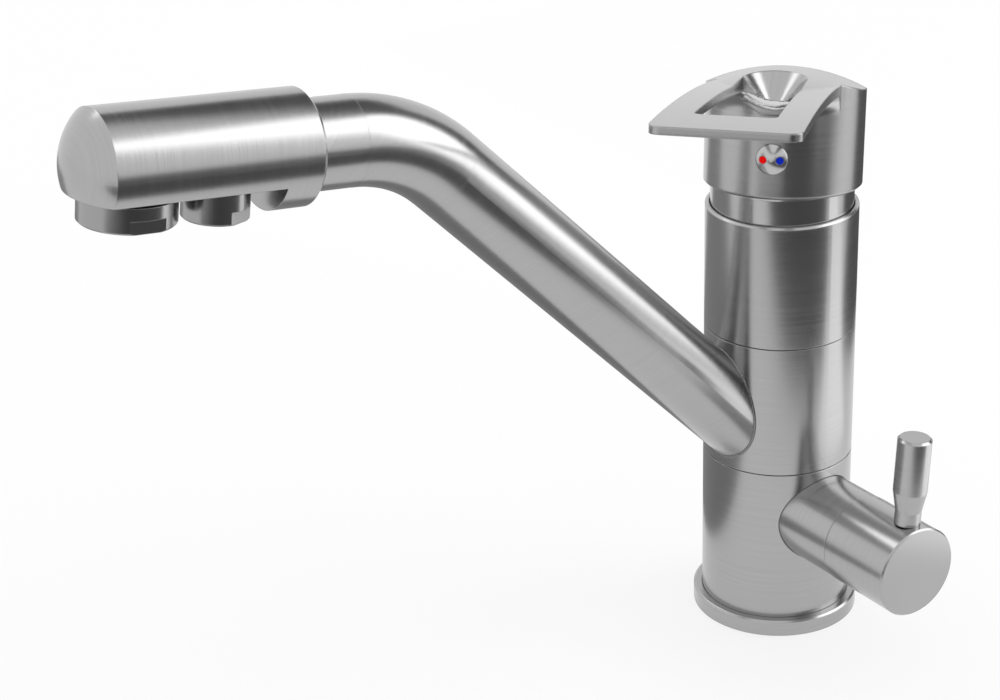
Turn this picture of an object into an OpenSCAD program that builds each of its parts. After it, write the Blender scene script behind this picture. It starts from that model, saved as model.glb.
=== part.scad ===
// Three way kitchen tap: mixed hot and cold water from one outlet of the swivel spout and
// filtered water from the other. A top lever works the mixing cartridge and a side knob
// works the filtered water valve.
// The origin is the centre of the base ring's underside, +Z is up, the spout points to -Y
// and the filtered water valve to +X.

/* [Column] */
// Diameter of the column
column_d = 48; // [46:0.5:54]
// Height of the base ring
ring_h = 5.4; // [4.6:0.2:7]
// How far the base ring stands out from the column
ring_lip = 2.8; // [2.4:0.1:5]
// Height of the line under the spout hub
hub_base_z = 57.5; // [57:0.5:66]
// Height of the spout hub
hub_h = 44.1; // [43:0.1:52]
// Height of the upper body
upper_h = 40.8; // [40.4:0.2:48]
// Open line between two pieces of the column
seam_gap = 0.3; // [0.2:0.05:0.5]
// Diameter of the neck that the hub turns on
neck_d = 33; // [32:0.2:34]

/* [Spout] */
// Height where the slanted tube's axis meets the column axis
tube_cross_z = 54.6; // [53:0.2:57]
// Slope of the slanted tube in degrees
tube_slope = 45.8; // [44:0.2:48]
// Outer diameter of the spout tube
tube_d = 26; // [24:0.2:27]
// Wall of the spout tube
tube_wall = 1.5; // [1:0.1:2.5]
// Bend radius of the tube's centre line
bend_r = 52; // [40:1:60]
// Slope of the spout head in degrees
head_slope = 7.3; // [4:0.1:10]
// Height where the head's axis meets the column axis
head_cross_z = 178.5; // [176:0.5:182]
// Diameter of the spout head
head_d = 33; // [32:0.2:36]
// Distance from the column to the rear end of the head, along its axis
head_rear = 171.8; // [168:0.2:174]
// Distance from the column to the crease at the front of the head
head_front = 234.3; // [233:0.2:244]
// How far the domed front bulges past the crease
head_dome = 7.4; // [5:0.1:9]
// Depth of the nozzle flat below the head's axis
flat_drop = 6.5; // [6:0.1:7.5]

/* [Nozzles] */
// Diameter of the mixed water nozzle
main_nozzle_d = 27.3; // [25:0.1:28]
// Distance from the column to the mixed water nozzle
main_nozzle_at = 223.5; // [222:0.5:226]
// Length of the mixed water nozzle below the flat
main_nozzle_h = 8.6; // [7:0.1:12]
// Diameter of the filtered water nozzle
filter_nozzle_d = 19; // [17:0.1:20]
// Distance from the column to the filtered water nozzle
filter_nozzle_at = 197.1; // [196:0.1:199]
// Length of the filtered water nozzle below the flat
filter_nozzle_h = 10.7; // [8:0.1:14]

/* [Handle] */
// Diameter of the handle's body
handle_d = 49.2; // [48.6:0.2:54]
// Height of the pivot above the rim of the upper body
pivot_rise = 3.9; // [3.9:0.1:5]
// Direction of the lever, from the spout towards the filter valve
handle_turn = 41.6; // [0:0.2:50]
// Lift of the lever at rest, in degrees above its closed place
handle_lift = 7; // [0:0.5:14]
// Height of the crown of the handle above the pivot
crown_h = 39.1; // [38.5:0.1:42]
// Reach of the lever from the handle's axis
lever_reach = 116; // [96:1:120]
// Height of the lever's front edge above the crown
lever_tip_rise = 5.8; // [5:0.1:12]
// Width of the lever at its front edge
lever_front_w = 41.6; // [38:0.2:46]
// Width of the finger opening at its rear
opening_w = 19.4; // [16:0.2:21]
// Thickness of the lever plate at its front edge
lever_t = 2.4; // [2:0.1:4]

/* [Filter valve] */
// Height of the filter valve's axis
valve_z = 39.9; // [37:0.1:41]
// Diameter of the boss that carries the valve
boss_d = 29; // [28:0.1:30]
// Distance from the column axis to the end of the boss
boss_reach = 40.9; // [40:0.1:46]
// Diameter of the knob
knob_d = 29.4; // [28.6:0.1:33]
// Length of the knob
knob_l = 26.2; // [24:0.2:32]
// Diameter of the knob's lever pin
pin_d = 10.6; // [9:0.1:12]
// Height of the lever pin above the knob
pin_h = 29; // [22:0.5:40]
// Lean of the lever pin at rest, in degrees
pin_lean = 3.4; // [0:0.2:8]

/* [Hidden] */
$fn = 72;

// Fits: running clearance of turning pieces, clearance of pieces fastened together
run_fit = 0.05;
set_fit = 0.1;
// Overrun of cuts
over = 1;
// Seal section and its groove
oring_r = 1.2;
groove_w = 2.8;
groove_depth = 2.4;

column_r = column_d/2;
neck_r = neck_d/2;
hub_top_z = hub_base_z + hub_h;
upper_base_z = hub_top_z + seam_gap;
rim_z = upper_base_z + upper_h;

// Base ring: the column's foot stands in its recess
ring_recess = 2.4;
foot_z = ring_h - ring_recess;
ring_r = column_r + ring_lip;
ring_seat_w = 3;
ring_bore_r = column_r - ring_seat_w;
ring_bevel = 0.6;
gasket_h = 1.2;
gasket_w = 2.6;
gasket_inset = 1.5;
gasket_r = ring_r - gasket_inset;

// Slip rings between the hub and the fixed column
slip_w = 5;
slip_r = neck_r + slip_w;
slip_sink = 1;

// Water ways in the column, as places on its plan
inlet_r = 4.6;
inlet_l = 12;
inlet_step = 1.2;
inlet_relief = 1;
riser_r = 2.8;
mixed_r = 3.5;
hot_inlet_at = [-7, -9];
cold_inlet_at = [7, -9];
hot_port_at = [-4.8, -6];
cold_port_at = [4.8, -6];
mixed_port_at = [0, 3];
filter_inlet_at = [9.5, 8];
// Each inlet is a step deeper than the last, so that no two floors are level
hot_inlet_l = inlet_l;
cold_inlet_l = hot_inlet_l + inlet_step;
filter_inlet_l = cold_inlet_l + inlet_step;
filter_riser_at = [12.5, 5];
filter_riser_r = 2;
filter_up_x = 5.5;
stud_at = [-8, 9];
stud_r = 3.4;
stud_l = 16;

// Levels of the ports and seals on the neck
filter_port_rise = 12;
filter_port_z = hub_base_z + filter_port_rise;
mixed_port_rise = 24.1;
mixed_port_z = hub_base_z + mixed_port_rise;
port_half_h = 2;
mixed_half_h = 6.5;
channel_depth = 3;
oring_rises = [7, 16.05, 34.5];
oring_levels = [for (rise = oring_rises) hub_base_z + rise];

// Ports in the hub, as places above or below the tube's axis
tube_r = tube_d/2;
tube_bore_r = tube_r - tube_wall;
socket_wall = 5.8;
socket_floor_r = neck_r + socket_wall;
hub_bore_r = neck_r + run_fit;
mixed_port_r = 4.2;
mixed_port_up = 7;
filter_line_r = 2.9;
filter_line_drop = 1.3;
filter_line_wall = 0.9;
filter_line_gap = 1.7;
filter_line_end_r = neck_r + filter_line_gap;

// Where the slanted tube and the head's axis meet
meet_y = (head_cross_z - tube_cross_z)/(tan(tube_slope) - tan(head_slope));
meet_z = tube_cross_z + meet_y*tan(tube_slope);
bend_turn = tube_slope - head_slope;
bend_tangent = bend_r*tan(bend_turn/2);
slant_end = meet_y/cos(tube_slope) - bend_tangent;
head_line_start = meet_y/cos(head_slope) + bend_tangent;
tube_insert = 9;
bend_lap = 0.5;
bend_proud = 0.03;

// Spout head
head_r = head_d/2;
dome_sphere_r = (head_r*head_r + head_dome*head_dome)/(2*head_dome);
head_step = 11.6;
head_rear_round = 1.2;
head_wall = 2.2;
chamber_wall = 4.5;
chamber_r = head_r - chamber_wall;

// Nozzles: neck in the head, wrench flats, aerator and its recess
main_r = main_nozzle_d/2;
main_neck_r = 10.6;
main_bore_r = 8.6;
filter_r = filter_nozzle_d/2;
filter_neck_r = 7.2;
filter_bore_r = 5.2;
washer_h = 1.2;
aerator_recess = 0.8;
aerator_h = 3.4;
aerator_hole_r = 0.75;
main_cup_wall = 2;
main_cup_r = main_r - main_cup_wall;
filter_cup_wall = 1.8;
filter_cup_r = filter_r - filter_cup_wall;
flat_sink = 1.05;
flat_cut_h = 3.8;
filter_flat_turn = -25;
filter_flat_sink = 0.9;
nozzle_bevel = 0.5;
elbow_r = 4.8;

// Mixing cartridge, seated on the neck inside the upper body
neck_top_depth = 25.7;
neck_top_z = rim_z - neck_top_depth;
chamber_step = 1.1;
chamber_clear_r = neck_r + chamber_step;
cartridge_r = chamber_clear_r - 2*set_fit;
cartridge_base_h = 2;
cartridge_seal_h = 1.2;
cartridge_seal_r = 4.4;
nut_seat_depth = 11.7;
nut_seat_z = rim_z - nut_seat_depth;
nut_thread_w = 2.4;
nut_r = chamber_clear_r + nut_thread_w;
nut_h = 6.8;
nut_slot_w = 4;
nut_slot_depth = 2;
collar_seat_depth = 5.7;
collar_seat_z = rim_z - collar_seat_depth;
housing_proud = 0.4;
housing_top_z = collar_seat_z + housing_proud;
housing_neck_r = 14;
turret_r = 11.5;
turret_rise = 13.3;
turret_base_z = neck_top_z + turret_rise;
housing_wall = 2.4;
disc_r = cartridge_r - housing_wall;
fixed_disc_h = 3.4;
sliding_disc_h = 3.3;
disc_travel = 4.45;
sliding_disc_r = disc_r - disc_travel;
pocket_r = 4.4;
pocket_back = 5.2;
pocket_top = 1;
carrier_r = 9;
carrier_h = 4.2;
disc_port_r = 2.4;
pivot_z = rim_z + pivot_rise;
turret_head_h = 2.2;
turret_top_z = pivot_z + turret_head_h;
turret_slot_w = 7.5;
turret_slot_l = 16.4;
turret_pin_r = 1.5;
turret_pin_l = 20;
stem_w = 7;
stem_drop = 17.2;
stem_foot_r = 3.3;
stem_foot_clear = 0.25;
stem_shank_share = 0.7;
stem_top_h = 24;

// Domed collar under the handle, round the cartridge nut
collar_wall = 1.4;
skirt_r = handle_d/2;
skirt_wall = 1.5;
skirt_bore_r = skirt_r - skirt_wall;
skirt_h = 2.4;
collar_clear = 0.42;
collar_dome_r = sqrt(skirt_bore_r*skirt_bore_r + skirt_h*skirt_h) - collar_clear;
collar_inset = 0.71;
collar_r = skirt_bore_r - collar_inset;
collar_top_h = 10;
collar_mouth_r = 15;
rim_clear = 0.31;
rim_round = 0.6;

// Handle: crowned body, lever plate that sweeps up from it, finger opening
skirt_round = 0.8;
skirt_turn = 15;
crown_r = 54.3;
crown_slope_share = 0.16;
crown_fall = 5.1;
crown_rise = 2.2;
crown_rise_l = 36;
crown_end = 40;
crown_steps = 12;
crown_depth = 13.6;
ceiling_h = crown_h - crown_depth;
lever_tip_h = crown_h + lever_tip_rise;
lever_sag = 10.4;
lever_root_t = 3.4;
lever_root_w = 36.8;
lever_corner_r = 3.6;
lever_steps = 24;
opening_margin = 18.5;
opening_front = lever_reach - opening_margin;
opening_flare = 3.6;
opening_front_w = opening_w + opening_flare;
opening_corner_r = 2;
opening_inset = 1;
opening_back = skirt_r - opening_inset;
opening_depth = 4.1;
opening_floor_h = crown_h - opening_depth;
scoop_depth = 6.7;
scoop_floor_h = crown_h - scoop_depth;
scoop_floor_r = 3;
scoop_rise = 1.2;
scoop_top_h = crown_h + scoop_rise;
lip_reach = 1;
lip_depth = 9.7;
lip_low_h = crown_h - lip_depth;
lip_low_r = 4.5;
lip_high_r = 15;
lip_back = 1.5;
fillet_r = 8;
fillet_h = crown_h - 10.7;
boss_hub_r = 8;
boss_hub_h = 12;
stem_socket = stem_w + 2*set_fit;

// Index button and its two dots
button_h = 15.2;
button_r = 4.9;
button_dome = 1.7;
button_shank_r = 4;
button_sphere_r = (button_r*button_r + button_dome*button_dome)/(2*button_dome);
dot_r = 1.1;
dot_gap = 5.1;
dot_sink = 0.9;
dot_proud = 0.08;
stem_screw_r = 2;

// Filter valve
boss_r = boss_d/2;
boss_root_x = 9;
valve_bore_r = 9.2;
valve_throat_r = 7;
valve_throat_x = 12;
valve_seat_x = 21;
headwork_nose_r = 7.4;
headwork_nose_l = 6.5;
spindle_r = 4;
spindle_head_r = 5.2;
spindle_head_l = 2.5;
valve_disc_r = 6.8;
valve_disc_h = 2;
valve_disc_hole_r = 2;
knob_r = knob_d/2;
knob_start_x = boss_reach + seam_gap;
knob_end_x = knob_start_x + knob_l;
knob_wall = 2.6;
knob_cup_r = knob_r - knob_wall;
knob_cup_l = 9;
knob_bevel = 0.5;
pin_inset = 6.1;
pin_x = knob_end_x - pin_inset;
pin_neck_step = 1.2;
pin_neck_r = pin_d/2 - pin_neck_step;
pin_neck_h = 4.5;
pin_taper_h = 6.5;
pin_bevel = 0.7;
pin_thread_r = 3;

// Places the children on the slanted tube's axis: local Z runs along it, local Y upwards
module on_tube_axis() {
    translate([0, 0, tube_cross_z]) rotate([90 - tube_slope, 0, 0]) children();
}

// Places the children on the head's axis: local Z runs along it, local Y upwards
module on_head_axis() {
    translate([0, 0, head_cross_z]) rotate([90 - head_slope, 0, 0]) children();
}

// Places the children in a nozzle's frame: local Z leaves the flat downwards
module on_flat(at) {
    on_head_axis() translate([0, -flat_drop, at]) rotate([90, 0, 0]) children();
}

// Places the children in the handle's frame at its pivot, the lever pointing to -Y
module on_handle() {
    translate([0, 0, pivot_z]) rotate([-handle_lift, 0, handle_turn]) children();
}

// Places the children in the turret's frame, turned but not lifted
module on_turret() {
    rotate([0, 0, handle_turn]) children();
}

// Places the children on the filter valve's axis: local Z points outwards along +X
module on_valve() {
    translate([0, 0, valve_z]) rotate([0, 90, 0]) children();
}

// A ring from one height to another
module ring(r_out, r_in, z_low, z_high) {
    translate([0, 0, z_low]) difference() {
        cylinder(r = r_out, h = z_high - z_low);
        translate([0, 0, -over]) cylinder(r = r_in, h = z_high - z_low + 2*over);
    }
}

// A rod with a bevel at its far end
module bevelled_rod(r, h, bevel) {
    cylinder(r = r, h = h - bevel);
    translate([0, 0, h - bevel]) cylinder(r1 = r, r2 = r - bevel, h = bevel);
}

module base_ring() {
    color([0.74, 0.73, 0.71]) difference() {
        bevelled_rod(ring_r, ring_h, ring_bevel);
        translate([0, 0, -over]) cylinder(r = ring_bore_r, h = ring_h + 2*over);
        translate([0, 0, foot_z]) cylinder(r = column_r + set_fit, h = ring_h);
        translate([0, 0, -over]) ring(gasket_r, gasket_r - gasket_w, 0, gasket_h + over);
    }
}

module base_gasket() {
    color([0.12, 0.12, 0.12]) ring(gasket_r - set_fit, gasket_r - gasket_w + set_fit, 0, gasket_h);
}

module neck_grooves() {
    for (z = oring_levels)
        ring(neck_r + over, neck_r - groove_depth, z - groove_w/2, z + groove_w/2);
    ring(neck_r + over, neck_r - channel_depth, filter_port_z - port_half_h, filter_port_z + port_half_h);
    ring(neck_r + over, neck_r - channel_depth, mixed_port_z - mixed_half_h, mixed_port_z + mixed_half_h);
}

module column_ways() {
    for (way = [[hot_inlet_at, hot_inlet_l], [cold_inlet_at, cold_inlet_l], [filter_inlet_at, filter_inlet_l]])
        translate([way[0][0], way[0][1], foot_z - over]) cylinder(r = inlet_r, h = way[1] + over);
    for (way = [[hot_port_at, hot_inlet_l], [cold_port_at, cold_inlet_l]])
        translate([way[0][0], way[0][1], foot_z + way[1] - inlet_relief])
            cylinder(r = riser_r, h = neck_top_z);
    translate([mixed_port_at[0], mixed_port_at[1], mixed_port_z]) {
        cylinder(r = mixed_r, h = neck_top_z);
        rotate([-90, 0, 0]) cylinder(r = mixed_r, h = neck_r);
    }
    filter_riser();
    translate([filter_up_x, 0, valve_z]) cylinder(r = filter_riser_r, h = filter_port_z - valve_z);
    translate([filter_up_x, 0, filter_port_z]) rotate([0, 90, 0])
        cylinder(r = filter_riser_r - set_fit, h = neck_r);
    translate([stud_at[0], stud_at[1], foot_z - over]) cylinder(r = stud_r, h = stud_l + over);
}

// The way from the filtered water inlet up into the valve
module filter_riser() {
    riser_z = foot_z + filter_inlet_l - inlet_relief;
    translate([filter_riser_at[0], filter_riser_at[1], riser_z])
        cylinder(r = filter_riser_r, h = valve_z - riser_z - filter_riser_r);
}

// Bores along the filter valve's axis: the way on to the spout, the throat and the seat
module valve_bores() {
    on_valve() {
        translate([0, 0, filter_up_x]) cylinder(r = filter_riser_r, h = boss_reach);
        translate([0, 0, valve_throat_x]) cylinder(r = valve_throat_r, h = boss_reach);
        translate([0, 0, valve_seat_x]) cylinder(r = valve_bore_r, h = boss_reach);
    }
}

// The neck is part of the lower body: the spout's hub turns on it
module neck_blank() {
    translate([0, 0, foot_z]) cylinder(r = neck_r, h = neck_top_z - foot_z);
}

module lower_body() {
    color([0.76, 0.75, 0.73]) difference() {
        union() {
            translate([0, 0, foot_z]) cylinder(r = column_r, h = hub_base_z - foot_z);
            neck_blank();
        }
        on_valve() translate([0, 0, boss_root_x - set_fit]) cylinder(r = boss_r + set_fit, h = boss_reach);
        translate([0, 0, hub_base_z - slip_sink])
            ring(slip_r + set_fit, neck_r, 0, slip_sink + over);
        neck_grooves();
        column_ways();
        on_valve() translate([0, 0, filter_up_x]) cylinder(r = filter_riser_r, h = boss_root_x);
    }
}

// The boss of the filter valve, set into a socket in the column's side
module valve_body() {
    color([0.76, 0.75, 0.73]) difference() {
        on_valve() translate([0, 0, boss_root_x]) cylinder(r = boss_r, h = boss_reach - boss_root_x);
        valve_bores();
        filter_riser();
    }
}

module lower_slip_ring() {
    color([0.9, 0.9, 0.88])
        ring(slip_r, neck_r + set_fit, hub_base_z - slip_sink, hub_base_z + seam_gap + slip_sink - run_fit);
}

module upper_slip_ring() {
    color([0.9, 0.9, 0.88])
        ring(slip_r, neck_r + set_fit, hub_top_z - slip_sink + run_fit, upper_base_z + slip_sink);
}

module neck_orings() {
    color([0.1, 0.1, 0.1]) for (z = oring_levels)
        translate([0, 0, z]) rotate_extrude() translate([neck_r - groove_depth + oring_r, 0])
            circle(r = oring_r, $fn = 32);
}

module upper_body() {
    color([0.76, 0.75, 0.73]) difference() {
        translate([0, 0, upper_base_z]) bevelled_rod(column_r, upper_h, rim_round);
        translate([0, 0, upper_base_z - over]) cylinder(r = neck_r + set_fit, h = upper_h);
        translate([0, 0, upper_base_z - over]) cylinder(r = slip_r + set_fit, h = slip_sink + over);
        translate([0, 0, neck_top_z]) cylinder(r = chamber_clear_r, h = upper_h);
        translate([0, 0, nut_seat_z]) cylinder(r = nut_r, h = upper_h);
        translate([0, 0, collar_seat_z]) cylinder(r = collar_r + rim_clear, h = upper_h);
    }
}

module cartridge_base() {
    color([0.25, 0.27, 0.3]) difference() {
        translate([0, 0, neck_top_z]) cylinder(r = cartridge_r, h = cartridge_base_h);
        for (at = [hot_port_at, cold_port_at, mixed_port_at]) translate([at[0], at[1], neck_top_z]) {
            translate([0, 0, -over]) cylinder(r = disc_port_r, h = cartridge_base_h + 2*over);
            translate([0, 0, -over]) cylinder(r = cartridge_seal_r + set_fit, h = cartridge_seal_h + over);
        }
    }
}

module cartridge_seals() {
    color([0.1, 0.1, 0.1]) for (at = [hot_port_at, cold_port_at, mixed_port_at])
        translate([at[0], at[1], neck_top_z]) ring(cartridge_seal_r, riser_r + set_fit, 0, cartridge_seal_h);
}

module cartridge_housing() {
    color([0.85, 0.85, 0.83]) difference() {
        union() {
            translate([0, 0, neck_top_z + cartridge_base_h])
                cylinder(r = cartridge_r, h = nut_seat_z - neck_top_z - cartridge_base_h);
            translate([0, 0, nut_seat_z - over])
                cylinder(r = housing_neck_r, h = housing_top_z - nut_seat_z + over);
        }
        translate([0, 0, neck_top_z]) cylinder(r = disc_r + set_fit, h = turret_base_z - neck_top_z);
        translate([0, 0, neck_top_z]) cylinder(r = turret_r + run_fit, h = housing_top_z);
    }
}

module fixed_disc() {
    color([0.95, 0.95, 0.93]) difference() {
        translate([0, 0, neck_top_z + cartridge_base_h]) cylinder(r = disc_r, h = fixed_disc_h);
        for (at = [hot_port_at, cold_port_at, mixed_port_at])
            translate([at[0], at[1], neck_top_z])
                cylinder(r = disc_port_r, h = cartridge_base_h + fixed_disc_h + over);
    }
}

sliding_disc_z = neck_top_z + cartridge_base_h + fixed_disc_h + run_fit;
carrier_z = sliding_disc_z + sliding_disc_h;
foot_at = -stem_drop*sin(handle_lift);

module sliding_disc() {
    color([0.95, 0.95, 0.93]) on_turret() translate([0, foot_at, sliding_disc_z]) difference() {
        cylinder(r = sliding_disc_r, h = sliding_disc_h);
        translate([0, 0, -over]) cylinder(r = pocket_r, h = sliding_disc_h - pocket_top + over);
        translate([0, pocket_back, -over]) cylinder(r = mixed_r, h = sliding_disc_h - pocket_top + over);
        translate([-mixed_r, 0, -over]) cube([2*mixed_r, pocket_back, sliding_disc_h - pocket_top + over]);
    }
}

module disc_carrier() {
    foot_z_low = pivot_z - stem_drop - stem_foot_r;
    color([0.2, 0.2, 0.22]) on_turret() translate([0, foot_at, carrier_z]) difference() {
        cylinder(r = carrier_r, h = carrier_h);
        translate([-stem_w/2 - stem_foot_clear, -stem_foot_r - stem_foot_clear,
                   foot_z_low - carrier_z - 2*stem_foot_clear])
            cube([stem_w + 2*stem_foot_clear, 2*(stem_foot_r + stem_foot_clear), carrier_h + 2*stem_foot_r]);
    }
}

module cartridge_turret() {
    color([0.3, 0.32, 0.35]) on_turret() difference() {
        translate([0, 0, turret_base_z]) cylinder(r = turret_r, h = turret_top_z - turret_base_z);
        translate([-turret_slot_w/2, -turret_slot_l/2, turret_base_z - over])
            cube([turret_slot_w, turret_slot_l, turret_top_z - turret_base_z + 2*over]);
        translate([0, 0, pivot_z]) rotate([0, 90, 0])
            cylinder(r = turret_pin_r + set_fit, h = 2*turret_r + 2*over, center = true);
    }
}

module turret_pin() {
    color([0.7, 0.7, 0.7]) on_turret() translate([0, 0, pivot_z]) rotate([0, 90, 0])
        cylinder(r = turret_pin_r, h = turret_pin_l, center = true);
}

module cartridge_stem() {
    color([0.8, 0.78, 0.7]) on_handle() difference() {
        union() {
            translate([-stem_w/2, -stem_w/2, -stem_drop + stem_foot_r])
                cube([stem_w, stem_w, stem_top_h + stem_drop - stem_foot_r]);
            translate([-stem_w/2, -stem_foot_r*stem_shank_share, -stem_drop])
                cube([stem_w, 2*stem_foot_r*stem_shank_share, 2*stem_foot_r]);
            translate([0, 0, -stem_drop]) rotate([0, 90, 0])
                cylinder(r = stem_foot_r, h = stem_w, center = true);
        }
        rotate([0, 90, 0]) cylinder(r = turret_pin_r + run_fit, h = stem_w + 2*over, center = true);
    }
}

module cartridge_nut() {
    color([0.8, 0.66, 0.35]) difference() {
        ring(nut_r - set_fit, housing_neck_r + set_fit, nut_seat_z, nut_seat_z + nut_h);
        for (a = [0:60:300]) rotate([0, 0, a])
            translate([-nut_slot_w/2, nut_r - nut_slot_depth, nut_seat_z + nut_h/2])
                cube([nut_slot_w, nut_slot_depth + over, nut_h]);
    }
}

// Half of the collar's section: straight below the pivot's level, round above it
module collar_half(r, dome_r, low_h, top_h) {
    intersection() {
        translate([0, low_h]) square([r, top_h - low_h]);
        union() {
            circle(r = dome_r, $fn = 144);
            translate([0, low_h]) square([dome_r + over, -low_h]);
        }
    }
}

module dome_collar() {
    low_h = collar_seat_z - pivot_z;
    color([0.82, 0.82, 0.82]) translate([0, 0, pivot_z]) rotate_extrude() difference() {
        collar_half(collar_r, collar_dome_r, low_h, collar_top_h);
        collar_half(collar_r - collar_wall, collar_dome_r - collar_wall, low_h - over,
                    collar_top_h - collar_wall);
        square([collar_mouth_r, collar_top_h + over]);
    }
}

module spout_hub() {
    color([0.76, 0.75, 0.73]) difference() {
        translate([0, 0, hub_base_z + seam_gap]) cylinder(r = column_r, h = hub_h - seam_gap);
        translate([0, 0, hub_base_z]) cylinder(r = hub_bore_r, h = hub_h + over);
        translate([0, 0, hub_base_z]) cylinder(r = slip_r + set_fit, h = seam_gap + slip_sink);
        translate([0, 0, hub_top_z - slip_sink]) cylinder(r = slip_r + set_fit, h = slip_sink + over);
        difference() {
            on_tube_axis() cylinder(r = tube_r + set_fit, h = slant_end);
            translate([0, 0, hub_base_z]) cylinder(r = socket_floor_r, h = hub_h + over);
        }
        on_tube_axis() translate([0, mixed_port_up, neck_r]) cylinder(r = mixed_port_r, h = slant_end/2);
        on_tube_axis() translate([0, -filter_line_drop, filter_line_end_r/cos(tube_slope)])
            cylinder(r = filter_line_r + set_fit, h = column_r);
        translate([0, 0, filter_port_z]) rotate([90, 0, 0])
            cylinder(r = filter_riser_r, h = filter_line_end_r + filter_line_r);
    }
}

// A round bar that follows the spout, at a height above or below its centre line. The
// straight lengths are drawn a little thinner than the bend and run a little way into it
module spout_path(r, up, from, to) {
    on_tube_axis() translate([0, up, from]) cylinder(r = r - bend_proud, h = slant_end - from + bend_lap);
    on_tube_axis() translate([0, -bend_r, slant_end]) rotate([0, 90, 0]) rotate([0, 0, 90])
        rotate_extrude(angle = bend_turn, $fn = 144) translate([bend_r + up, 0]) circle(r = r, $fn = 72);
    on_head_axis() translate([0, up, head_line_start - bend_lap])
        cylinder(r = r - bend_proud, h = to - head_line_start + bend_lap);
}

module spout_tube() {
    color([0.76, 0.75, 0.73]) difference() {
        spout_path(tube_r, 0, socket_floor_r/2, head_rear + tube_insert);
        spout_path(tube_bore_r, 0, 0, head_rear + tube_insert + over);
        translate([0, 0, hub_base_z - hub_h]) cylinder(r = socket_floor_r + set_fit, h = 3*hub_h);
    }
}

module filtered_tube() {
    start = (filter_line_end_r + filter_line_r)/cos(tube_slope);
    color([0.92, 0.92, 0.9]) difference() {
        spout_path(filter_line_r, -filter_line_drop, start, filter_nozzle_at - elbow_r/2);
        spout_path(filter_line_r - filter_line_wall, -filter_line_drop, start - over, filter_nozzle_at);
    }
}

module head_blank() {
    on_head_axis() {
        translate([0, 0, head_rear + head_rear_round])
            cylinder(r = head_r, h = head_front - head_rear - head_rear_round);
        translate([0, 0, head_rear]) cylinder(r1 = head_r - head_rear_round, r2 = head_r, h = head_rear_round);
        intersection() {
            translate([0, 0, head_front + head_dome - dome_sphere_r]) sphere(r = dome_sphere_r, $fn = 144);
            translate([0, 0, head_front - over]) cylinder(r = head_r, h = head_dome + 2*over);
        }
    }
}

module spout_head() {
    color([0.76, 0.75, 0.73]) difference() {
        head_blank();
        on_head_axis() {
            translate([-head_r - over, -head_r - flat_drop, head_rear + head_step])
                cube([head_d + 2*over, head_r, head_front]);
            translate([0, 0, head_rear - over]) cylinder(r = tube_r + set_fit, h = tube_insert + over);
            intersection() {
                translate([0, 0, head_rear]) cylinder(r = chamber_r, h = head_front - head_rear);
                translate([-chamber_r, -flat_drop + head_wall, head_rear])
                    cube([2*chamber_r, chamber_r + flat_drop, head_front - head_rear]);
            }
        }
        on_flat(main_nozzle_at) translate([0, 0, -flat_drop]) cylinder(r = main_neck_r + set_fit, h = head_r);
        on_flat(filter_nozzle_at) translate([0, 0, -flat_drop]) cylinder(r = filter_neck_r + set_fit, h = head_r);
    }
}

module filter_elbow() {
    color([0.8, 0.66, 0.35]) difference() {
        on_flat(filter_nozzle_at) translate([0, 0, -flat_drop - 2*filter_line_r + filter_line_drop])
            cylinder(r = elbow_r, h = flat_drop + 2*filter_line_r - filter_line_drop + over);
        on_flat(filter_nozzle_at) translate([0, 0, -flat_drop])
            cylinder(r = filter_line_r - filter_line_wall, h = head_r);
        on_head_axis() translate([0, -filter_line_drop, head_rear])
            cylinder(r = filter_line_r + set_fit, h = filter_nozzle_at - elbow_r/2 - head_rear + set_fit);
        on_head_axis() translate([0, -filter_line_drop, filter_nozzle_at - elbow_r])
            cylinder(r = filter_line_r - filter_line_wall - set_fit, h = elbow_r);
    }
}

// A nozzle with a threaded neck above the flat, wrench flats and a cup for its aerator
module nozzle(r, neck_r, bore_r, cup_r, h, sink, turn) {
    cup_h = aerator_h + aerator_recess;
    rotate([0, 0, turn]) difference() {
        union() {
            translate([0, 0, washer_h]) bevelled_rod(r, h - washer_h, nozzle_bevel);
            translate([0, 0, -head_wall]) cylinder(r = neck_r, h = h/2 + head_wall);
        }
        translate([0, 0, -head_wall - over]) cylinder(r = bore_r, h = h + head_wall + 2*over);
        translate([0, 0, h - cup_h]) cylinder(r = cup_r, h = cup_h + over);
        for (side = [0, 180]) rotate([0, 0, side])
            translate([r - sink, -r, h - flat_cut_h]) cube([r, 2*r, flat_cut_h + over]);
    }
}

module aerator(cup_r, h, rows) {
    step = (cup_r - set_fit)/(rows + 1);
    translate([0, 0, h - aerator_h - aerator_recess]) difference() {
        cylinder(r = cup_r - set_fit, h = aerator_h);
        for (row = [1:rows]) for (k = [0:6*row - 1]) rotate([0, 0, 60*k/row])
            translate([row*step, 0, -over]) cylinder(r = aerator_hole_r, h = aerator_h + 2*over, $fn = 16);
    }
}

module main_nozzle() {
    color([0.8, 0.8, 0.8]) on_flat(main_nozzle_at)
        nozzle(main_r, main_neck_r, main_bore_r, main_cup_r, main_nozzle_h, flat_sink, 0);
}

module main_washer() {
    color([0.1, 0.1, 0.1]) on_flat(main_nozzle_at)
        ring(main_neck_r + flat_sink/2, main_neck_r + set_fit, 0, washer_h);
}

module main_aerator() {
    color([0.85, 0.85, 0.85]) on_flat(main_nozzle_at) aerator(main_cup_r, main_nozzle_h, 3);
}

module filter_nozzle() {
    color([0.8, 0.8, 0.8]) on_flat(filter_nozzle_at)
        nozzle(filter_r, filter_neck_r, filter_bore_r, filter_cup_r, filter_nozzle_h,
               filter_flat_sink, filter_flat_turn);
}

module filter_washer() {
    color([0.1, 0.1, 0.1]) on_flat(filter_nozzle_at)
        ring(filter_neck_r + filter_flat_sink, filter_neck_r + set_fit, 0, washer_h);
}

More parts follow.
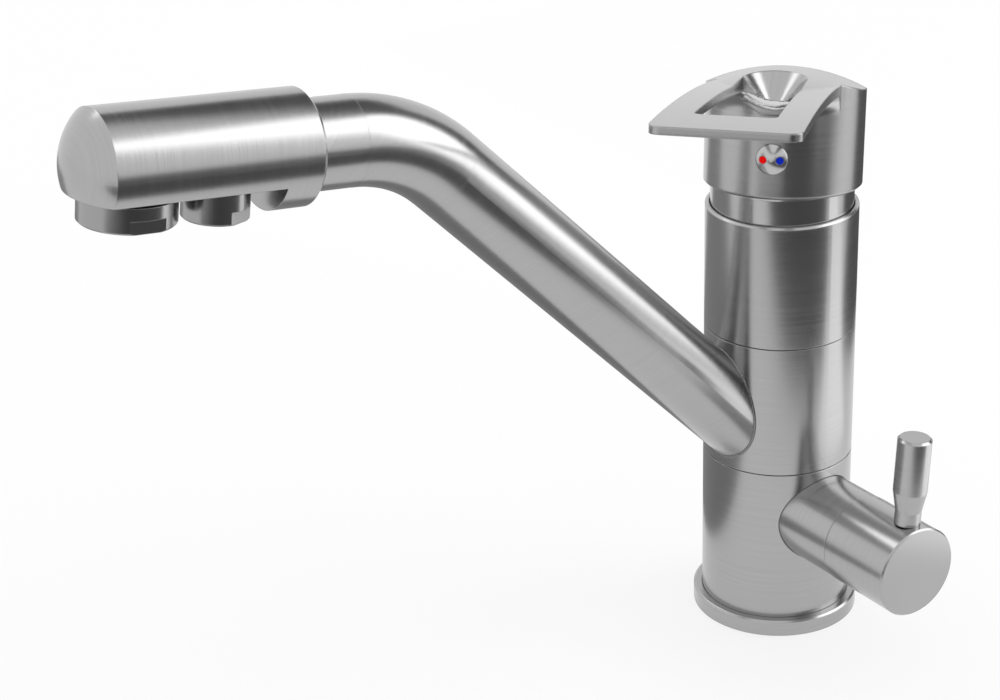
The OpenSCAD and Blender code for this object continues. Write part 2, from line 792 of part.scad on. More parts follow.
module filter_aerator() {
    color([0.85, 0.85, 0.85]) on_flat(filter_nozzle_at) aerator(filter_cup_r, filter_nozzle_h, 2);
}

// Height of the crown's crest, at a distance in front of the handle's axis
function crest(u) = u < 0
    ? crown_h + crown_slope_share*u - crown_fall*pow(u/skirt_r, 2)
    : crown_h + crown_rise*sin(90*min(u/crown_rise_l, 1));

// Heights of the lever plate's top and underside, at a distance in front of the axis
function plate_top(u) = lever_tip_h - lever_sag*pow(1 - u/lever_reach, 2);
function plate_under(u) = plate_top(u) - lever_t - (lever_root_t - lever_t)*(1 - u/lever_reach);

// The crowned top: every cross-section along the lever's direction is part of a circle
module crown() {
    back = skirt_r + over;
    us = concat([for (i = [0:crown_steps]) -back + i*back/crown_steps],
                [for (i = [1:crown_steps]) i*crown_end/crown_steps]);
    translate([0, 0, crown_h - crown_r]) rotate([90, 0, 0]) rotate_extrude($fn = 180)
        polygon(concat([[0, -back]], [for (u = us) [crown_r + crest(u) - crown_h, u]], [[0, crown_end]]));
}

// Draws a side view, made of distances in front of the axis and heights, across the handle
module across() {
    rotate([90, 0, -90]) translate([0, 0, -lever_front_w]) linear_extrude(height = 2*lever_front_w) children();
}

module lever_plan() {
    corner_y = lever_reach - lever_corner_r;
    corner_x = lever_front_w/2 - lever_corner_r;
    polygon([[-lever_root_w/2, 0], [lever_root_w/2, 0], [lever_front_w/2, -corner_y], [corner_x, -lever_reach],
             [-corner_x, -lever_reach], [-lever_front_w/2, -corner_y]]);
    for (side = [-1, 1]) translate([side*corner_x, -corner_y]) circle(r = lever_corner_r, $fn = 32);
}

// The space over the plate's underside, or over a level a little inside it
module above_plate_under(inside) {
    us = [for (i = [0:lever_steps]) i*lever_reach/lever_steps];
    across() polygon(concat([for (u = us) [u, plate_under(u) + inside]],
                            [[lever_reach, 2*crown_h], [0, 2*crown_h]]));
}

module lever_plate() {
    us = [for (i = [0:lever_steps]) i*lever_reach/lever_steps];
    intersection() {
        linear_extrude(height = 2*crown_h) lever_plan();
        across() polygon(concat([for (u = us) [u, plate_under(u)]],
                                [for (i = [lever_steps:-1:0]) [us[i], plate_top(us[i])]]));
    }
}

module handle_crown() {
    intersection() {
        union() {
            translate([0, 0, skirt_h + skirt_round]) rotate([0, 0, skirt_turn])
                cylinder(r = skirt_r, h = 2*crown_h);
            intersection() {
                linear_extrude(height = 2*crown_h) lever_plan();
                above_plate_under(lever_t/2);
            }
        }
        crown();
    }
    translate([0, 0, skirt_h]) rotate([0, 0, skirt_turn])
        cylinder(r1 = skirt_r - skirt_round, r2 = skirt_r, h = skirt_round);
}

// Concave fillet between the front wall and the underside of the lever's plate
module root_fillet() {
    intersection() {
        translate([0, 0, fillet_h]) linear_extrude(height = fillet_r) lever_plan();
        rotate([0, 0, skirt_turn]) rotate_extrude() difference() {
            translate([skirt_bore_r + skirt_wall/2, fillet_h]) square([fillet_r, fillet_r]);
            translate([skirt_r + fillet_r, fillet_h]) circle(r = fillet_r, $fn = 96);
        }
    }
}

// The thick lip of the scoop, which stands a little proud of the handle's front wall
module scoop_lip() {
    intersection() {
        translate([0, -opening_back, lip_low_h])
            cylinder(r1 = lip_low_r, r2 = lip_high_r, h = opening_floor_h - lip_low_h);
        translate([0, 0, lip_low_h]) cylinder(r = skirt_r + lip_reach, h = crown_h);
    }
}

module opening_plan() {
    corner = opening_corner_r;
    half = opening_w/2;
    half_front = opening_front_w/2;
    polygon([[-half, -opening_back], [half, -opening_back], [half_front, -opening_front + corner],
             [half_front - corner, -opening_front], [-half_front + corner, -opening_front],
             [-half_front, -opening_front + corner]]);
    for (side = [-1, 1]) translate([side*(half_front - corner), -opening_front + corner])
        circle(r = corner, $fn = 32);
}

module finger_opening() {
    half = opening_w/2;
    translate([0, 0, opening_floor_h]) linear_extrude(height = crown_h) opening_plan();
    difference() {
        translate([0, 0, fillet_h - over]) linear_extrude(height = crown_h) opening_plan();
        translate([0, 0, fillet_h - 2*over]) rotate([0, 0, skirt_turn])
            cylinder(r = skirt_r + lip_back, h = 2*crown_h);
    }
    translate([0, -opening_back, scoop_floor_h])
        cylinder(r1 = scoop_floor_r, r2 = half, h = scoop_top_h - scoop_floor_h);
    translate([0, -opening_back, scoop_top_h]) cylinder(r = half, h = crown_h);
}

module handle_lever() {
    color([0.76, 0.75, 0.73]) on_handle() difference() {
        union() {
            difference() {
                handle_crown();
                translate([0, 0, skirt_h - over]) cylinder(r = skirt_bore_r, h = ceiling_h - skirt_h + over);
            }
            translate([0, 0, boss_hub_h]) cylinder(r = boss_hub_r, h = ceiling_h - boss_hub_h + over);
            lever_plate();
            root_fillet();
            scoop_lip();
        }
        finger_opening();
        translate([-stem_socket/2, -stem_socket/2, boss_hub_h - over])
            cube([stem_socket, stem_socket, stem_top_h + set_fit - boss_hub_h + over]);
        translate([0, 0, button_h]) rotate([90, 0, 0]) {
            cylinder(r = button_shank_r + set_fit, h = skirt_r + over);
            cylinder(r = stem_screw_r + set_fit, h = skirt_r);
        }
    }
}

module stem_screw() {
    color([0.35, 0.35, 0.36]) on_handle() translate([0, -stem_w/2, button_h]) rotate([90, 0, 0])
        cylinder(r = stem_screw_r, h = boss_hub_r - stem_w/2);
}

module button_blank() {
    intersection() {
        translate([0, 0, button_dome - button_sphere_r]) sphere(r = button_sphere_r, $fn = 96);
        cylinder(r = button_r, h = button_dome + over);
    }
    translate([0, 0, -skirt_wall]) cylinder(r = button_shank_r, h = skirt_wall + over/2);
}

module on_button() {
    on_handle() translate([0, -skirt_r - seam_gap/2, button_h]) rotate([90, 0, 0]) children();
}

dot_surface = sqrt(button_sphere_r*button_sphere_r - dot_gap*dot_gap/4) - button_sphere_r + button_dome;

module index_button() {
    color([0.85, 0.85, 0.85]) on_button() difference() {
        button_blank();
        for (side = [-1, 1]) translate([side*dot_gap/2, 0, dot_surface - dot_sink])
            cylinder(r = dot_r + run_fit, h = dot_sink + over, $fn = 32);
    }
}

module dot(side) {
    on_button() translate([side*dot_gap/2, 0, dot_surface - dot_sink])
        cylinder(r = dot_r, h = dot_sink + dot_proud, $fn = 32);
}

module hot_dot() {
    color([0.8, 0.1, 0.1]) dot(-1);
}

module cold_dot() {
    color([0.1, 0.2, 0.75]) dot(1);
}

module valve_headwork() {
    disc_space = 2*valve_disc_h + run_fit;
    color([0.8, 0.66, 0.35]) on_valve() difference() {
        union() {
            translate([0, 0, valve_seat_x + washer_h])
                cylinder(r = valve_bore_r - set_fit, h = boss_reach - valve_seat_x - washer_h - seam_gap);
            translate([0, 0, boss_reach - seam_gap - over]) cylinder(r = headwork_nose_r, h = headwork_nose_l + over);
        }
        translate([0, 0, valve_seat_x])
            cylinder(r = valve_disc_r + run_fit, h = washer_h + disc_space + spindle_head_l + 2*run_fit);
        translate([0, 0, valve_seat_x]) cylinder(r = spindle_r + run_fit, h = boss_reach);
    }
}

module valve_seal() {
    color([0.1, 0.1, 0.1]) on_valve()
        ring(valve_bore_r - set_fit, valve_disc_hole_r + over, valve_seat_x, valve_seat_x + washer_h);
}

module valve_disc(x) {
    on_valve() translate([0, 0, x]) difference() {
        cylinder(r = valve_disc_r, h = valve_disc_h);
        for (side = [-1, 1]) translate([side*valve_disc_r/2, 0, -over])
            cylinder(r = valve_disc_hole_r, h = valve_disc_h + 2*over);
    }
}

module valve_seat_disc() {
    color([0.95, 0.95, 0.93]) valve_disc(valve_seat_x + washer_h);
}

module valve_turning_disc() {
    color([0.95, 0.95, 0.93]) valve_disc(valve_seat_x + washer_h + valve_disc_h + run_fit);
}

module valve_spindle() {
    head_x = valve_seat_x + washer_h + 2*valve_disc_h + run_fit;
    color([0.8, 0.66, 0.35]) on_valve() {
        translate([0, 0, head_x]) cylinder(r = spindle_head_r, h = spindle_head_l);
        translate([0, 0, head_x + spindle_head_l - over])
            cylinder(r = spindle_r, h = pin_x + spindle_r - head_x - spindle_head_l + over);
    }
}

// Places the children at the lever pin's foot: local Z runs along the pin
module on_pin() {
    translate([pin_x, 0, valve_z]) rotate([-pin_lean, 0, 0]) children();
}

module filter_knob() {
    color([0.76, 0.75, 0.73]) difference() {
        on_valve() difference() {
            translate([0, 0, knob_start_x]) bevelled_rod(knob_r, knob_l, knob_bevel);
            translate([0, 0, knob_start_x - over]) cylinder(r = knob_cup_r, h = knob_cup_l + over);
            translate([0, 0, knob_start_x])
                cylinder(r = spindle_r + set_fit, h = pin_x + spindle_r + set_fit - knob_start_x);
        }
        on_pin() cylinder(r = pin_thread_r + set_fit, h = knob_r + over);
    }
}

module knob_lever_pin() {
    color([0.76, 0.75, 0.73]) on_pin() {
        translate([0, 0, spindle_r + set_fit]) cylinder(r = pin_thread_r, h = knob_r);
        translate([0, 0, knob_r]) cylinder(r = pin_neck_r, h = pin_neck_h);
        translate([0, 0, knob_r + pin_neck_h]) cylinder(r1 = pin_neck_r, r2 = pin_d/2, h = pin_taper_h);
        translate([0, 0, knob_r + pin_neck_h + pin_taper_h])
            bevelled_rod(pin_d/2, pin_h - pin_neck_h - pin_taper_h, pin_bevel);
    }
}

base_ring();
base_gasket();
lower_body();
valve_body();
lower_slip_ring();
upper_slip_ring();
neck_orings();
upper_body();
cartridge_base();
cartridge_seals();
cartridge_housing();
fixed_disc();
sliding_disc();
disc_carrier();
cartridge_turret();
turret_pin();
cartridge_stem();
cartridge_nut();
dome_collar();
spout_hub();
spout_tube();
filtered_tube();
spout_head();
filter_elbow();
main_nozzle();
main_washer();
main_aerator();
filter_nozzle();
filter_washer();
filter_aerator();
handle_lever();
stem_screw();
index_button();
hot_dot();
cold_dot();
valve_headwork();
valve_seal();
valve_seat_disc();
valve_turning_disc();
valve_spindle();
filter_knob();
knob_lever_pin();
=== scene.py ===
"""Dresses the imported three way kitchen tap: brushed nickel, polished and hidden finishes,
turned edges, the weld round the spout tube, and the studio that it is shown in."""

import math

import bmesh
import bpy
from mathutils import Euler, Matrix, Vector


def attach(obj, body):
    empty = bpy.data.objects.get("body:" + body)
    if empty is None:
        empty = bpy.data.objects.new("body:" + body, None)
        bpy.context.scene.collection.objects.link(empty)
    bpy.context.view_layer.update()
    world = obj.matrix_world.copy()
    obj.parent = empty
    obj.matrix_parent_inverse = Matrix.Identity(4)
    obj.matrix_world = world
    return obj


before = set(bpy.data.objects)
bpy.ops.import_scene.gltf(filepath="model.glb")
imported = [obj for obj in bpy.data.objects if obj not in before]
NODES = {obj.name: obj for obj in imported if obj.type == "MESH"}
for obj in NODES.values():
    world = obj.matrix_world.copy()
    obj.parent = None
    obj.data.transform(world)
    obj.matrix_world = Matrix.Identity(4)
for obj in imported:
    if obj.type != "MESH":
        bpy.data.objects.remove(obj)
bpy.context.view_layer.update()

bl_info = {
    "name": "Three Way Kitchen Tap",
    "version": (1, 0, 0),
    "blender": (4, 5, 0),
    "location": "View3D > Sidebar > Tap",
    "description": "Finishes and studio for a three way kitchen tap with a swivel spout",
    "category": "Object",
}


def radians(*angles):
    return tuple(math.radians(angle) for angle in angles)


# The tap's main axes, as the source has them: distances in metres, angles in degrees
TUBE_CROSS_Z = 0.0546
TUBE_SLOPE = 45.8
HEAD_CROSS_Z = 0.1785
HEAD_SLOPE = 7.3
VALVE_Z = 0.0399
PIVOT_Z = 0.1466
HANDLE_TURN = 41.6
HANDLE_LIFT = 7.0
LEVER_TOP = 0.033
TUBE_RADIUS = 0.013
HUB_RADIUS = 0.024
# Turns that lay a texture's Z along each turned piece
ALONG_TUBE = radians(90 - TUBE_SLOPE, 0, 0)
ALONG_HEAD = radians(90 - HEAD_SLOPE, 0, 0)
ALONG_VALVE = radians(0, 90, 0)
ALONG_HANDLE = radians(-HANDLE_LIFT, 0, HANDLE_TURN)

# How far the brush marks are drawn out: fine along one axis, long along the others
ROUND_MARKS = (25, 25, 1900)
LENGTH_MARKS = (1900, 25, 25)
# The height over which the lever's marks turn from round to lengthways
MARKS_TURN = 0.0015
# How much the marks lighten and darken the nickel
WEAR = 0.035
EDGE_SAMPLES = 4
CERAMIC_GRAIN = 1500.0
ENAMEL_GRAIN = 900.0
ENAMEL_SHINE = 0.1

# Beads: sides, levels of rounding, size at an open end, and growth at each place from there
BEAD_SIDES = 8
BEAD_ROUNDING = 2
BEAD_END = 0.4
BEAD_GROWTH = 0.35
# The weld round the spout tube
WELD_RADIUS = 0.0005
WELD_STEPS = 48
# The cast lip of the lever's finger opening: its radius, its distance from the handle's axis,
# and the places along it as side and height in the handle's frame
LIP_RADIUS = 0.0018
LIP_REACH = 0.0258
LIP_PLACES = ((-0.0102, 0.0352), (-0.0080, 0.0344), (-0.0060, 0.0335), (-0.0040, 0.0327),
              (-0.0015, 0.0322), (0.0012, 0.0321), (0.0036, 0.0324), (0.0058, 0.0330))

# The rays to which the floor and the background are white, and the floor's share of white
SEEN_BY = ("Is Camera Ray", "Is Glossy Ray", "Is Transmission Ray")
FLOOR_GLOW = 0.75
FLOOR_SIZE = 6
# The room's light by how high it comes from: 0 is the horizon and below, 1 is straight above
ROOM_LEVELS = ((0.0, 1.0), (0.3, 1.25), (0.5, 1.0), (1.0, 1.1))
# The top lamp's and the floor glare's shares of the side lamp's brightness
TOP_SHARE = 0.85
GLARE_SHARE = 0.85
# Shades and roughness of the studio cards, and their heights above the floor
BLACK_CARD = (0.06, 0.06, 0.06)
GREY_CARD = (0.3, 0.3, 0.3)
CARD_ROUGHNESS = 0.9
DARK_CARD_Z = 0.002
NEAR_CARD_Z = 0.003

# The photo's camera: picture and optical centre in pixels, sensor in millimetres, what it
# stands round, and its turns in degrees away from that
PICTURE = (1000, 700)
OPTICAL_CENTRE = (383.1, 330.2)
SENSOR_WIDTH = 36
CAMERA_TARGET = (0, 0, 0.095)
CAMERA_YAW = -9.065
CAMERA_ROLL = 1.168
CLIP_NEAR, CLIP_FAR = 0.01, 50


class TapFinish(bpy.types.PropertyGroup):
    """Colours and surface values of the tap's metals and hidden pieces."""

    nickel: bpy.props.FloatVectorProperty(
        name="Brushed nickel", description="Colour of the brushed metal",
        subtype="COLOR", size=3, min=0, max=1, default=(0.42, 0.42, 0.42))
    nickel_roughness: bpy.props.FloatProperty(
        name="Brushed roughness", description="How much the brushed metal blurs what it shows",
        min=0.05, max=0.8, default=0.24)
    brush_depth: bpy.props.FloatProperty(
        name="Brush depth", description="Strength of the fine brush marks",
        min=0, max=1, default=0.09)
    polished: bpy.props.FloatVectorProperty(
        name="Polished nickel", description="Colour of the polished collar",
        subtype="COLOR", size=3, min=0, max=1, default=(0.45, 0.45, 0.45))
    polished_roughness: bpy.props.FloatProperty(
        name="Polished roughness", description="Blur of the polished metal",
        min=0.02, max=0.5, default=0.12)
    # The nozzles' colour is darker than the nickel's: a painted dark reflection on their polished
    # walls.
    nozzle_painted_reflection: bpy.props.FloatVectorProperty(
        name="Nozzles", description="Colour of the darker polished nozzles",
        subtype="COLOR", size=3, min=0, max=1, default=(0.34, 0.34, 0.34))
    chrome: bpy.props.FloatVectorProperty(
        name="Chrome", description="Colour of the index button",
        subtype="COLOR", size=3, min=0, max=1, default=(0.5, 0.5, 0.5))
    hot: bpy.props.FloatVectorProperty(
        name="Hot dot", description="Colour of the hot water mark",
        subtype="COLOR", size=3, min=0, max=1, default=(0.9, 0.0, 0.0))
    cold: bpy.props.FloatVectorProperty(
        name="Cold dot", description="Colour of the cold water mark",
        subtype="COLOR", size=3, min=0, max=1, default=(0.0, 0.02, 0.5))
    brass: bpy.props.FloatVectorProperty(
        name="Brass", description="Colour of the turned brass inside",
        subtype="COLOR", size=3, min=0, max=1, default=(0.72, 0.52, 0.24))
    rubber: bpy.props.FloatVectorProperty(
        name="Rubber", description="Colour of the seals",
        subtype="COLOR", size=3, min=0, max=1, default=(0.02, 0.02, 0.02))


class TapStage(bpy.types.PropertyGroup):
    """The camera, the floor and the lights."""

    camera_distance: bpy.props.FloatProperty(
        name="Camera distance", description="From the camera to the column",
        subtype="DISTANCE", unit="LENGTH", min=0.3, max=4, default=0.8084)
    camera_azimuth: bpy.props.FloatProperty(
        name="Camera azimuth",
        description="Side from which the tap is seen, in degrees from the spout",
        min=-180, max=180, default=49.8)
    camera_elevation: bpy.props.FloatProperty(
        name="Camera elevation", description="Height of the camera above the horizon, in degrees",
        min=-10, max=89, default=24.69)
    lens: bpy.props.FloatProperty(
        name="Lens", description="Focal length in millimetres", min=20, max=300, default=89.36)
    floor_colour: bpy.props.FloatVectorProperty(
        name="Floor", description="Colour of the floor and backdrop",
        subtype="COLOR", size=3, min=0, max=1, default=(0.92, 0.92, 0.92))
    world_level: bpy.props.FloatProperty(
        name="Room light", description="Strength of the light from all round",
        min=0, max=3, default=0.8)
    lamp_level: bpy.props.FloatProperty(
        name="Lamps", description="How bright the side lamp looks, where 1 is white",
        min=0, max=10, default=1.9)


class Socket:
    """Wraps a node's output so that shader maths reads as an expression."""

    def __init__(self, tree, link):
        self.tree, self.link = tree, link

    def math(self, operation, *others):
        node = self.tree.add("ShaderNodeMath", operation=operation)
        self.tree.feed_all(node, self, *others)
        return Socket(self.tree, node.outputs[0])

    def __add__(self, other):
        return self.math("ADD", other)

    __radd__ = __add__

    def __mul__(self, other):
        return self.math("MULTIPLY", other)

    def __rsub__(self, other):
        return self * -1.0 + other


class Tree:
    """The node tree of a material or of the world, and the tools to build its nodes."""

    def __init__(self, owner):
        owner.use_nodes = True
        self.nodes, self.links = owner.node_tree.nodes, owner.node_tree.links
        self.nodes.clear()

    def add(self, kind, **settings):
        node = self.nodes.new(kind)
        for key, value in settings.items():
            setattr(node, key, value)
        return node

    def feed(self, socket, value):
        if isinstance(value, Socket):
            self.links.new(value.link, socket)
        else:
            socket.default_value = value

    def feed_all(self, node, *values):
        """Feeds a node's first inputs in their order."""
        for socket, value in zip(node.inputs, values):
            self.feed(socket, value)

    def node(self, kind, settings=None, output=0, **inputs):
        """Adds a node, sets it, feeds its inputs by name and gives one of its outputs."""
        node = self.add(kind, **(settings or {}))
        for name, value in inputs.items():
            self.feed(node.inputs[name.replace("_", " ")], value)
        return Socket(self, node.outputs[output])

    def ramp(self, value, stops):
        """Turns a value into a grey by stops of place and level."""
        node = self.add("ShaderNodeValToRGB")
        elements = node.color_ramp.elements
        while len(elements) < len(stops):
            elements.new(1.0)
        for element, (place, level) in zip(elements, stops):
            element.position = place
            element.color = (level, level, level, 1)
        self.feed_all(node, value)
        return Socket(self, node.outputs[0])

    def mix_colours(self, factor, first, second):
        node = self.add("ShaderNodeMix", data_type="RGBA")
        for place, value in ((0, factor), (6, first), (7, second)):
            self.feed(node.inputs[place], value)
        return Socket(self, node.outputs[2])

    def mix_shaders(self, factor, first, second):
        node = self.add("ShaderNodeMixShader")
        self.feed_all(node, factor, first, second)
        return Socket(self, node.outputs[0])

    def white_rays(self):
        """1 for the rays to which the floor and the background are white, else 0."""
        path = self.add("ShaderNodeLightPath")
        return sum((Socket(self, path.outputs[ray]) for ray in SEEN_BY), 0.0)


class Finish(Tree):
    """A new material with its shader, and the textures that the tap's finishes share."""

    def __init__(self, name):
        self.material = bpy.data.materials.new(name)
        super().__init__(self.material)
        self.shader = self.add("ShaderNodeBsdfPrincipled")
        self.output = self.add("ShaderNodeOutputMaterial")
        self.links.new(self.shader.outputs[0], self.output.inputs[0])

    def along(self, turn=(0, 0, 0), place=(0, 0, 0)):
        """Object coordinates turned so that Z runs along a turned piece's own axis."""
        where = self.node("ShaderNodeTexCoord", output=3)
        return self.node("ShaderNodeMapping", {"vector_type": "TEXTURE"}, Vector=where,
                         Location=place, Rotation=turn, Scale=(1, 1, 1))

    def stretch(self, where, scale):
        return self.node("ShaderNodeMapping", {"vector_type": "POINT"}, Vector=where, Scale=scale)

    def noise(self, where, scale, detail=3.0, roughness=0.6):
        return self.node("ShaderNodeTexNoise", Vector=where, Scale=scale, Detail=detail,
                         Roughness=roughness)

    def fine_noise(self, where, scale):
        """Noise that is drawn out by a scale for each axis."""
        return self.noise(self.stretch(where, scale), 1.0, 2.0)

    def bump(self, strength, distance, height, edge=None):
        """Bump over edges that are rounded by a radius, if one is given."""
        inputs = {"Strength": strength, "Distance": distance, "Height": height}
        if edge:
            inputs["Normal"] = self.node("ShaderNodeBevel", {"samples": EDGE_SAMPLES}, Radius=edge)
        return self.node("ShaderNodeBump", **inputs)

    def set(self, **values):
        for name, value in values.items():
            self.feed(self.shader.inputs[name.replace("_", " ")], value)


def tint(colour, factor=1.0):
    """A colour for a socket, made darker or lighter by a factor."""
    return tuple(min(channel * factor, 1.0) for channel in colour) + (1.0,)


def dressed(material, *names):
    """Puts a material in every slot of the named nodes' objects."""
    for name in names:
        piece = NODES[name]
        if not piece.data.materials:
            piece.data.materials.append(material)
        for slot in piece.material_slots:
            slot.material = material


def brushed(name, finish, turn=(0, 0, 0), place=(0, 0, 0), cross=None, edge=0.0004):
    """Brushed nickel whose fine marks run round the Z axis of the turned coordinates.

    cross holds the heights along that axis between which the marks turn to run along X instead,
    as they do on the flat top of a lever."""
    m = Finish(name)
    where = m.along(turn, place)
    marks = m.fine_noise(where, ROUND_MARKS)
    if cross:
        height = m.node("ShaderNodeSeparateXYZ", output=2, Vector=where)
        lid = m.node("ShaderNodeMapRange", Value=height, From_Min=cross[0], From_Max=cross[1])
        marks = marks * (1 - lid) + m.fine_noise(where, LENGTH_MARKS) * lid
    cloud = m.noise(where, 25.0, 3.0, 0.5)
    level = marks * 0.85 + cloud * 0.15
    colour = m.mix_colours(m.ramp(level, [(0.3, 0.0), (0.7, 1.0)]),
                           tint(finish.nickel, 1 - WEAR), tint(finish.nickel, 1 + WEAR))
    m.set(Base_Color=colour, Metallic=1.0,
          Roughness=marks * 0.08 + cloud * 0.04 + (finish.nickel_roughness - 0.06),
          Normal=m.bump(finish.brush_depth, 0.00006, level, edge))
    return m.material


def polished(name, colour, roughness, edge=0.0003):
    """Polished metal with faint smears."""
    m = Finish(name)
    where = m.along()
    m.set(Base_Color=tint(colour), Metallic=1.0,
          Roughness=m.noise(where, 90.0) * 0.08 + (roughness - 0.04),
          Normal=m.bump(0.05, 0.00005, m.fine_noise(where, (300, 300, 900)), edge))
    return m.material


def cast(name, finish, tone_and_highlight):
    """Unbrushed nickel with the uneven skin of a casting or a weld. Its colour is the nickel's
    scaled by a factor: below 1 for the darker weld, above 1 for a painted highlight.
    """
    m = Finish(name)
    lumps = m.noise(m.along(), 700.0)
    m.set(Base_Color=tint(finish.nickel, tone_and_highlight), Metallic=1.0, Roughness=lumps * 0.2 + 0.15,
          Normal=m.bump(0.6, 0.0003, lumps))
    return m.material


def moulded(name, colour, roughness, grain=600.0, depth=0.1, shine=0.5):
    """Moulded plastic, rubber, ceramic or card with a fine even grain."""
    m = Finish(name)
    speckle = m.noise(m.along(), grain)
    m.set(Base_Color=m.mix_colours(speckle, tint(colour, 0.92), tint(colour, 1.06)),
          Roughness=speckle * 0.12 + (roughness - 0.06), Specular_IOR_Level=shine,
          Normal=m.bump(depth, 0.00008, speckle))
    return m.material


def enamel(name, colour):
    return moulded(name, colour, 0.3, ENAMEL_GRAIN, 0.03, ENAMEL_SHINE)


def new_object(name, mesh, bm, material):
    """A new object with the built mesh and one material."""
    bm.to_mesh(mesh)
    bm.free()
    mesh.materials.append(material)
    piece = bpy.data.objects.new(name, mesh)
    bpy.context.collection.objects.link(piece)
    return piece


def ring_edges(ring):
    """The edges between the points of a ring."""
    return list({edge for point in ring for edge in point.link_edges
                 if edge.other_vert(point) in ring})


def bead(name, places, radius, closed, material, body):
    """A round bead of metal, from one circle that is extruded from place to place."""
    bm = bmesh.new()
    ring = first = bmesh.ops.create_circle(bm, segments=BEAD_SIDES, radius=1.0)["verts"]
    before, turn, course = Matrix.Identity(4), Matrix.Identity(4), Vector((0, 0, 1))
    last = len(places) - 1
    for step, place in enumerate(places):
        ahead = places[(step + 1) % len(places)] if closed else places[min(step + 1, last)]
        behind = places[step - 1] if closed else places[max(step - 1, 0)]
        heading = (ahead - behind).normalized()
        turn = course.rotation_difference(heading).to_matrix().to_4x4() @ turn
        course = heading
        share = 1.0 if closed else min(1.0, BEAD_END + BEAD_GROWTH * min(step, last - step))
        here = Matrix.Translation(place) @ turn @ Matrix.Scale(radius * share, 4)
        if step:
            grown = bmesh.ops.extrude_edge_only(bm, edges=ring_edges(ring))["geom"]
            ring = [item for item in grown if isinstance(item, bmesh.types.BMVert)]
        bmesh.ops.transform(bm, matrix=here @ before.inverted(), verts=ring)
        before = here
    ends = ring_edges(first) + ring_edges(ring)
    if closed:
        bmesh.ops.bridge_loops(bm, edges=ends)
    else:
        bmesh.ops.holes_fill(bm, edges=ends, sides=BEAD_SIDES)
    bmesh.ops.recalc_face_normals(bm, faces=bm.faces)
    for face in bm.faces:
        face.smooth = True
    piece = new_object(name, bpy.data.meshes.new(name), bm, material)
    rounding = piece.modifiers.new("rounding", "SUBSURF")
    rounding.levels = rounding.render_levels = BEAD_ROUNDING
    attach(piece, body)


def weld_place(angle):
    """A point of the seam where the slanted tube meets the hub, by its angle round the tube."""
    slope = math.radians(TUBE_SLOPE)
    side, rise = TUBE_RADIUS * math.cos(angle), TUBE_RADIUS * math.sin(angle)
    out = math.sqrt(HUB_RADIUS ** 2 - side ** 2)
    along = (out + rise * math.sin(slope)) / math.cos(slope)
    height = TUBE_CROSS_Z + along * math.sin(slope) + rise * math.cos(slope)
    return Vector((side, -out, height))


class TAP_OT_column(bpy.types.Operator):
    """Brushed finish of the base ring, the column and the collar"""

    bl_idname = "tap.column"
    bl_label = "Column"

    def execute(self, context):
        finish = context.scene.tap_finish
        dressed(brushed("brushed_nickel_column", finish),
                "base_ring", "lower_body", "upper_body", "spout_hub")
        dressed(polished("polished_collar", finish.polished, finish.polished_roughness + 0.08),
                "dome_collar")
        return {"FINISHED"}


class TAP_OT_spout(bpy.types.Operator):
    """Brushed finish of the spout tube and head, its weld, the nozzles and the aerators"""

    bl_idname = "tap.spout"
    bl_label = "Spout"

    def execute(self, context):
        finish = context.scene.tap_finish
        dressed(brushed("brushed_nickel_tube", finish, ALONG_TUBE, (0, 0, TUBE_CROSS_Z)),
                "spout_tube")
        places = [weld_place(math.tau * step / WELD_STEPS) for step in range(WELD_STEPS)]
        weld = cast("weld_nickel", finish, 0.55)
        bead("tube_weld", places, WELD_RADIUS, True, weld, "spout")
        dressed(brushed("brushed_nickel_head", finish, ALONG_HEAD, (0, 0, HEAD_CROSS_Z)),
                "spout_head")
        # The nozzles take the darker colour: painted dark reflections, not a darker metal.
        dressed(polished("polished_nozzles_painted_dark_reflection", finish.nozzle_painted_reflection, finish.polished_roughness + 0.1),
                "main_nozzle", "filter_nozzle")
        dressed(moulded("grey_aerator", (0.45, 0.45, 0.46), 0.45),
                "main_aerator", "filter_aerator")
        return {"FINISHED"}


class TAP_OT_handle(bpy.types.Operator):
    """Brushed finish of the lever, its cast lip, and its chrome button with two dots"""

    bl_idname = "tap.handle"
    bl_label = "Lever handle"

    def execute(self, context):
        finish = context.scene.tap_finish
        flat_top = (LEVER_TOP - MARKS_TURN, LEVER_TOP)
        dressed(brushed("brushed_nickel_lever", finish, ALONG_HANDLE, (0, 0, PIVOT_Z),
                        cross=flat_top, edge=0.0008), "handle_lever")
        handle = Matrix.Translation((0, 0, PIVOT_Z)) @ Euler(ALONG_HANDLE).to_matrix().to_4x4()
        places = [handle @ Vector((side, -math.sqrt(LIP_REACH ** 2 - side ** 2), height))
                  for side, height in LIP_PLACES]
        # The lip's nickel is lightened 1.6 times: a painted highlight where its rounded top
        # catches the lamp.
        lip = cast("cast_nickel_painted_highlight", finish, 1.6)
        bead("lever_lip", places, LIP_RADIUS, False, lip, "lever")
        dressed(polished("chrome_button", finish.chrome, 0.24, 0.0004), "index_button")
        dressed(enamel("red_enamel", finish.hot), "hot_dot")
        dressed(enamel("blue_enamel", finish.cold), "cold_dot")
        return {"FINISHED"}


class TAP_OT_valve(bpy.types.Operator):
    """Brushed finish of the filtered water valve, its knob and its lever pin"""

    bl_idname = "tap.valve"
    bl_label = "Filter valve"

    def execute(self, context):
        finish = context.scene.tap_finish
        axis = (ALONG_VALVE, (0, 0, VALVE_Z))
        dressed(brushed("brushed_nickel_knob", finish, *axis), "filter_knob")
        dressed(brushed("brushed_nickel_valve", finish, *axis), "valve_body")
        dressed(brushed("brushed_nickel_pin", finish), "knob_lever_pin")
        return {"FINISHED"}


